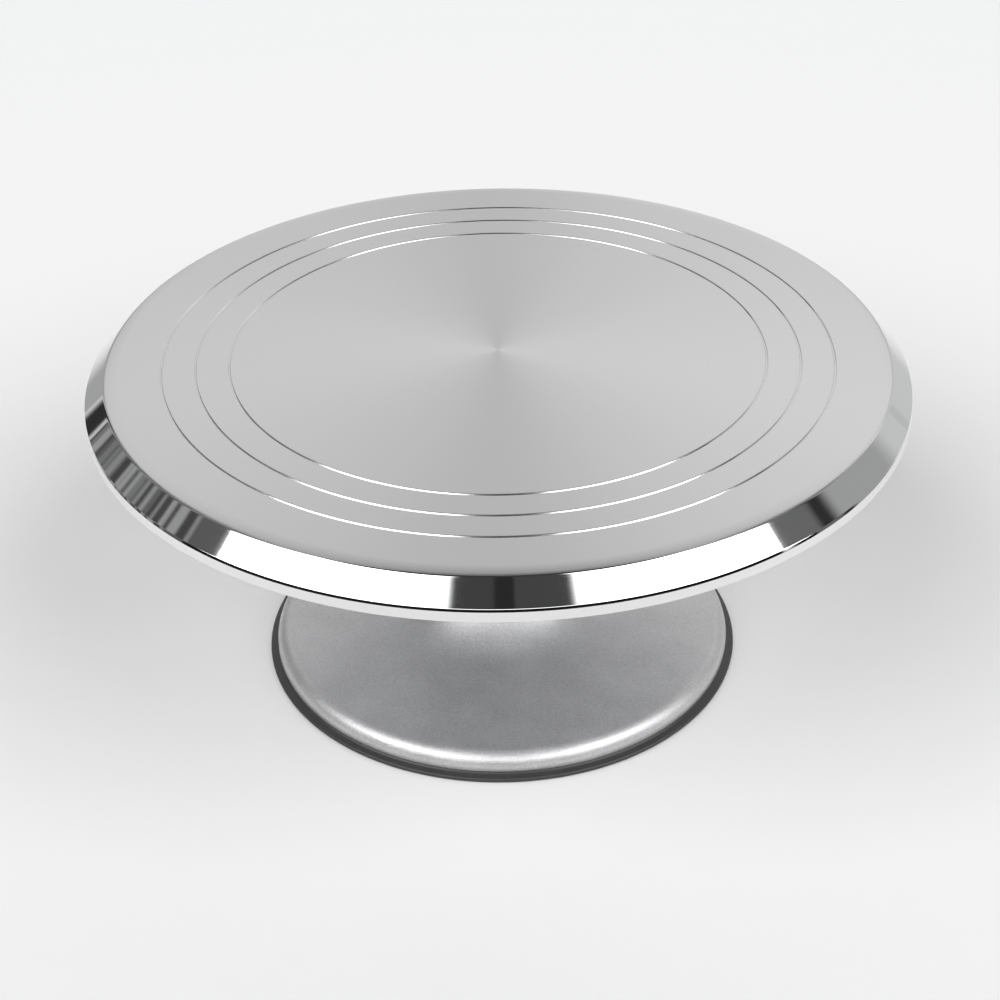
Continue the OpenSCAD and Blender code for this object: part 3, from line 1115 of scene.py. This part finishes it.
    def build_cap(self, palette: Palette) -> None:
        """Moulds the cap that closes the housing from below.

        Args:
            palette: The materials.
        """
        seat_r = self.race.radius
        shelf = self.cap.low + self.cap_flange_t
        cap = turned([
            (0, self.cap.low),
            (self.cap.radius, self.cap.low),
            (self.cap.radius, shelf),
            (seat_r, shelf),
            (seat_r, self.cap.high),
            (seat_r - self.cap_wall, self.cap.high),
            (seat_r - self.cap_wall, shelf),
            (0, shelf),
        ], segments=128, ease=0.25)
        piece = Piece("housing_cap", "bore_plug", "pedestal_base", "black_plastic", [Coat.MOULDED_CAP])
        piece.finish(cap, palette)

    def build_rubber(self, palette: Palette) -> None:
        """Moulds the rubber ring with its bead, its upstand and the grooves of its tread.

        Args:
            palette: The materials.
        """
        foot_r = self.casting.radius
        bead_r = self.ring.radius
        upstand_r = foot_r - self.skin_t
        inner = foot_r - self.rubber_band
        low = self.ring.low
        tread: list[Point] = []
        for i in range(self.tread_count):
            start = inner + self.tread_start + i * self.tread_pitch
            end = start + self.tread_w
            tread += [
                (start, low), (start, low + self.tread_depth), (end, low + self.tread_depth), (end, low),
            ]
        ring = turned([
            (inner, low),
            *tread,
            *arc((bead_r - self.rubber_round, low + self.rubber_round), self.rubber_round, -90, 60, 10),
            (foot_r + self.bead_step, low + self.rubber_h - self.bead_step),
            (foot_r, low + self.rubber_h),
            (upstand_r, low + self.rubber_h),
            (upstand_r, self.ring.high - self.upstand_lead),
            (upstand_r - self.upstand_lead, self.ring.high),
            (upstand_r - self.upstand_t, self.ring.high),
            (upstand_r - self.upstand_t, low + self.rubber_h),
            (inner, low + self.rubber_h),
        ], closed=True, ease=0.08, hold=0.1)
        piece = Piece("rubber_ring", "foot_ring", "pedestal_base", "black_rubber", [Coat.MOULDED_RUBBER])
        piece.finish(ring, palette)


# ---- The works inside, which keep their CAD meshes -----------------------------------


@dataclass
class BearingWorks:
    """Both ball bearings with their spacer, shim and retaining ring."""

    bearings: tuple[str, ...] = ("upper_bearing", "lower_bearing")
    honed: tuple[str, ...] = ("inner_race", "outer_race", "balls")
    pressed: tuple[str, ...] = ("cage_top", "cage_bottom", "cage_rivets", "top_shield", "bottom_shield")
    loose: dict[str, Coat] = field(default_factory=lambda: {
        "bearing_spacer": Coat.ZINC_PLATE,
        "shim_washer": Coat.PHOSPHATE,
        "spindle_circlip": Coat.PHOSPHATE,
    })

    def dress(self, palette: Palette) -> None:
        """Gives each node its finish.

        Args:
            palette: The materials.
        """
        coats = dict(self.loose)
        for bearing in self.bearings:
            coats.update({f"{bearing}_{part}": Coat.HONED_STEEL for part in self.honed})
            coats.update({f"{bearing}_{part}": Coat.PRESSED_STEEL for part in self.pressed})
        for node, coat in coats.items():
            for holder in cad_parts[node].material_slots:
                holder.material = palette[coat]
            log.info("%s: %s", node, coat.value.name)


# ---- The studio ------------------------------------------------------------------------


@dataclass(frozen=True)
class Panel:
    """One area of the studio's walls, by compass and height as seen from the plate, in degrees.

    The compass is 0 in front of the object and 90 to its right. The panels are laid over each other in order.
    Each edge is as soft as its own number of degrees. A panel of hanging cloth has folds about fold degrees
    wide, which go between light and fold_light.
    """

    name: str
    left: float
    right: float
    low: float
    high: float
    light: float
    soft_left: float = 2.0
    soft_right: float = 2.0
    soft_low: float = 3.0
    soft_high: float = 3.0
    fold: float = 0.0
    fold_light: float = 0.0


@dataclass
class Studio:
    """Pale floor, soft light from panels all round, and the camera."""

    ambient: float = 0.22
    backdrop: str = "f1f2f3"
    floor_colour: str = "f0f0f0"
    floor_r: float = 1.0
    floor_fade_r: float = 0.4
    floor_roughness: float = 0.9
    floor_gloss: float = 0.1
    camera_place: tuple[float, float, float] = (0.0, -0.6650, 0.4958)
    camera_pitch: float = 33.02
    camera_roll: float = -0.879
    lens: float = 73.58
    # Name, left, right, low, high and light, then the softness of those four edges and the folds.
    panels: tuple[Panel, ...] = (
        Panel("back_wall_right", 118, 184, -95, 56, 0.87, 12, 8, 1, 16),
        Panel("back_wall_left", 176, 242, -95, 56, 0.78, 8, 12, 1, 16),
        Panel("left_corner", -174, -139, -95, 26, 0.39, 20, 1, 1, 10),
        Panel("right_corner", 112, 172, -95, 26, 0.61, 2, 14, 1, 10),
        Panel("right_pelmet", 130, 133.5, -95, 20, 0.54, 1, 1, 1, 4),
        Panel("low_front", -100, 94, -95, 22, 0.012, 6, 4, 0.5, 4),
        Panel("left_softbox", -84.5, -14, 20, 64, 3.4, 0.8, 8, 4, 4),
        Panel("right_softbox", 21, 84, 20, 64, 3.4, 8, 0.8, 4, 4),
        Panel("front_softbox", -20, 27, 22, 46, 2.5, 4, 4, 3, 4),
        Panel("right_low_softbox", 73, 84, 3, 26, 3.4, 2, 0.8, 3, 2),
        Panel("camera_left", -19, 0, 40, 78, 0.055, 4, 2, 4, 8),
        Panel("camera_right", 3, 25.5, 40, 78, 0.062, 2, 4, 4, 8),
        Panel("camera_middle", -3.5, 5, 40, 78, 0.024, 2, 1, 4, 8),
        Panel("left_curtain", -132, -85, -95, 42, 0.06, 1, 0.8, 1, 4, 2.6, 0.34),
        Panel("left_flag", -94, -85, -95, 42, 0.11, 3, 0.8, 1, 4),
        Panel("left_gap", -140, -131.5, -95, 34, 0.03, 3, 1.5, 1, 4),
        Panel("right_flag", 84.5, 96, -95, 42, 0.15, 0.8, 2, 1, 4),
        Panel("right_wall", 97, 125, -95, 36, 0.37, 3, 7, 1, 4),
        Panel("right_gap", 93.6, 102, -95, 40, 0.03, 2.5, 4.5, 1, 4),
        Panel("dark_ceiling", -181, 181, 60, 120, 0.045, 0.1, 0.1, 8, 1),
    )

    def build(self) -> None:
        """Builds the light, the floor and the camera."""
        self.build_light()
        self.build_floor()
        self.build_camera()

    def build_light(self) -> None:
        """Paints the panels on the world, over an even grey."""
        world = bpy.data.worlds.new("studio")
        bpy.context.scene.world = world
        world.use_nodes = True
        tree = world.node_tree
        tree.nodes.clear()
        way = add_node(tree, "ShaderNodeTexCoord").outputs["Generated"]
        parts = add_node(tree, "ShaderNodeSeparateXYZ", {0: way}).outputs
        back = add_node(tree, "ShaderNodeMath", {0: parts["Y"], 1: -1.0}, operation="MULTIPLY")
        turn = add_node(tree, "ShaderNodeMath", {0: parts["X"], 1: back.outputs[0]}, operation="ARCTAN2")
        compass = add_node(tree, "ShaderNodeMath", {0: turn.outputs[0]}, operation="DEGREES").outputs[0]
        rise = add_node(tree, "ShaderNodeMath", {0: parts["Z"]}, operation="ARCSINE")
        height = add_node(tree, "ShaderNodeMath", {0: rise.outputs[0]}, operation="DEGREES").outputs[0]
        light = add_node(tree, "ShaderNodeValue").outputs[0]
        light.default_value = self.ambient
        for panel in self.panels:
            light = self.lay(tree, panel, compass, height, light)
        seen = add_node(tree, "ShaderNodeLightPath").outputs["Is Camera Ray"]
        lit = add_node(tree, "ShaderNodeBackground", {"Color": light})
        plain = add_node(tree, "ShaderNodeBackground", {"Color": linear(self.backdrop)})
        both = add_node(tree, "ShaderNodeMixShader", {0: seen, 1: lit.outputs[0], 2: plain.outputs[0]})
        add_node(tree, "ShaderNodeOutputWorld", {"Surface": both.outputs[0]})

    @staticmethod
    def lay(
        tree: bpy.types.NodeTree, panel: Panel, compass: bpy.types.NodeSocket, height: bpy.types.NodeSocket,
        under: bpy.types.NodeSocket,
    ) -> bpy.types.NodeSocket:
        """Lays one panel over the light so far.

        Args:
            tree: The world's tree.
            panel: The panel.
            compass: Direction round the object in degrees.
            height: Direction above the floor in degrees.
            under: The light so far.

        Returns:
            The light with the panel.
        """
        middle = (panel.left + panel.right) / 2
        half = (panel.right - panel.left) / 2
        off = add_node(tree, "ShaderNodeMath", {0: compass, 1: middle}, operation="SUBTRACT").outputs[0]
        aside = add_node(tree, "ShaderNodeMath", {0: off, 1: 180.0, 2: -180.0}, operation="WRAP").outputs[0]
        ramps = (
            (aside, -half, -half + panel.soft_left),
            (aside, half, half - panel.soft_right),
            (height, panel.low, panel.low + panel.soft_low),
            (height, panel.high, panel.high - panel.soft_high),
        )
        cover = 1.0
        for value, outside, inside in ramps:
            ramp = add_node(
                tree, "ShaderNodeMapRange", {"Value": value, "From Min": outside, "From Max": inside},
                interpolation_type="SMOOTHSTEP",
            ).outputs["Result"]
            cover = add_node(tree, "ShaderNodeMath", {0: cover, 1: ramp}, operation="MULTIPLY").outputs[0]
        light = panel.light
        if panel.fold > 0:
            folds = add_node(
                tree, "ShaderNodeTexNoise", {"W": compass, "Scale": 1 / panel.fold, "Detail": 1.0},
                noise_dimensions="1D",
            )
            light = add_node(
                tree, "ShaderNodeMapRange",
                {"Value": folds.outputs["Fac"], "From Min": 0.4, "From Max": 0.62, "To Min": panel.light,
                 "To Max": panel.fold_light},
            ).outputs["Result"]
        return add_node(tree, "ShaderNodeMix", {0: cover, 2: under, 3: light}, label=panel.name).outputs[0]

    def build_floor(self) -> None:
        """Lays the pale floor that the object stands on. Its far edge fades into the backdrop."""
        mesh = bmesh.new()
        bmesh.ops.create_circle(mesh, cap_ends=True, segments=64, radius=self.floor_r)
        data = bpy.data.meshes.new("studio_floor")
        mesh.to_mesh(data)
        mesh.free()
        floor = bpy.data.objects.new("studio_floor", data)
        bpy.context.scene.collection.objects.link(floor)
        material = bpy.data.materials.new("pale_matt_floor")
        material.use_nodes = True
        tree = material.node_tree
        shader = tree.nodes["Principled BSDF"]
        shader.inputs["Base Color"].default_value = linear(self.floor_colour)
        shader.inputs["Roughness"].default_value = self.floor_roughness
        shader.inputs["Specular IOR Level"].default_value = self.floor_gloss
        place = add_node(tree, "ShaderNodeTexCoord").outputs["Object"]
        reach = add_node(tree, "ShaderNodeVectorMath", {0: place}, operation="LENGTH").outputs["Value"]
        cover = add_node(
            tree, "ShaderNodeMapRange",
            {"Value": reach, "From Min": self.floor_r, "From Max": self.floor_fade_r},
            interpolation_type="SMOOTHSTEP",
        ).outputs["Result"]
        tree.links.new(cover, shader.inputs["Alpha"])
        data.materials.append(material)

    def build_camera(self) -> None:
        """Sets the camera in front of the object, above it and tilted down."""
        camera = bpy.data.objects.new("camera", bpy.data.cameras.new("camera"))
        camera.data.lens = self.lens
        camera.data.clip_start = 0.01
        camera.data.clip_end = 100
        tilt = Matrix.Rotation(math.radians(90 - self.camera_pitch), 4, "X")
        roll = Matrix.Rotation(math.radians(self.camera_roll), 4, "Z")
        camera.matrix_world = Matrix.Translation(self.camera_place) @ tilt @ roll
        bpy.context.scene.collection.objects.link(camera)
        bpy.context.scene.camera = camera


def main() -> None:
    """Builds the object's sub-assemblies from the plate down, then the studio."""
    logging.basicConfig(level=logging.INFO, format="%(name)s: %(message)s")
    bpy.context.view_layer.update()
    palette = Palette()
    flange = Extent.of("spindle_flange")
    race = Extent.of("upper_bearing_outer_race")
    circle = ScrewCircle()
    TurntablePlate(Extent.of("turntable_plate"), boss_z=flange.high, circle=circle).build(palette)
    SpindleSet(
        flange, shaft=Extent.of("spindle"), upper_bearing=race, circlip=Extent.of("spindle_circlip"),
        circle=circle,
    ).build(palette)
    Pedestal(
        Extent.of("pedestal"), ring=Extent.of("foot_ring"), cap=Extent.of("bore_plug"), race=race,
        lower_bearing=Extent.of("lower_bearing_outer_race"),
    ).build(palette)
    BearingWorks().dress(palette)
    Studio().build()
    bpy.context.scene.view_settings.view_transform = "Standard"


if __name__ == "__main__":
    main()
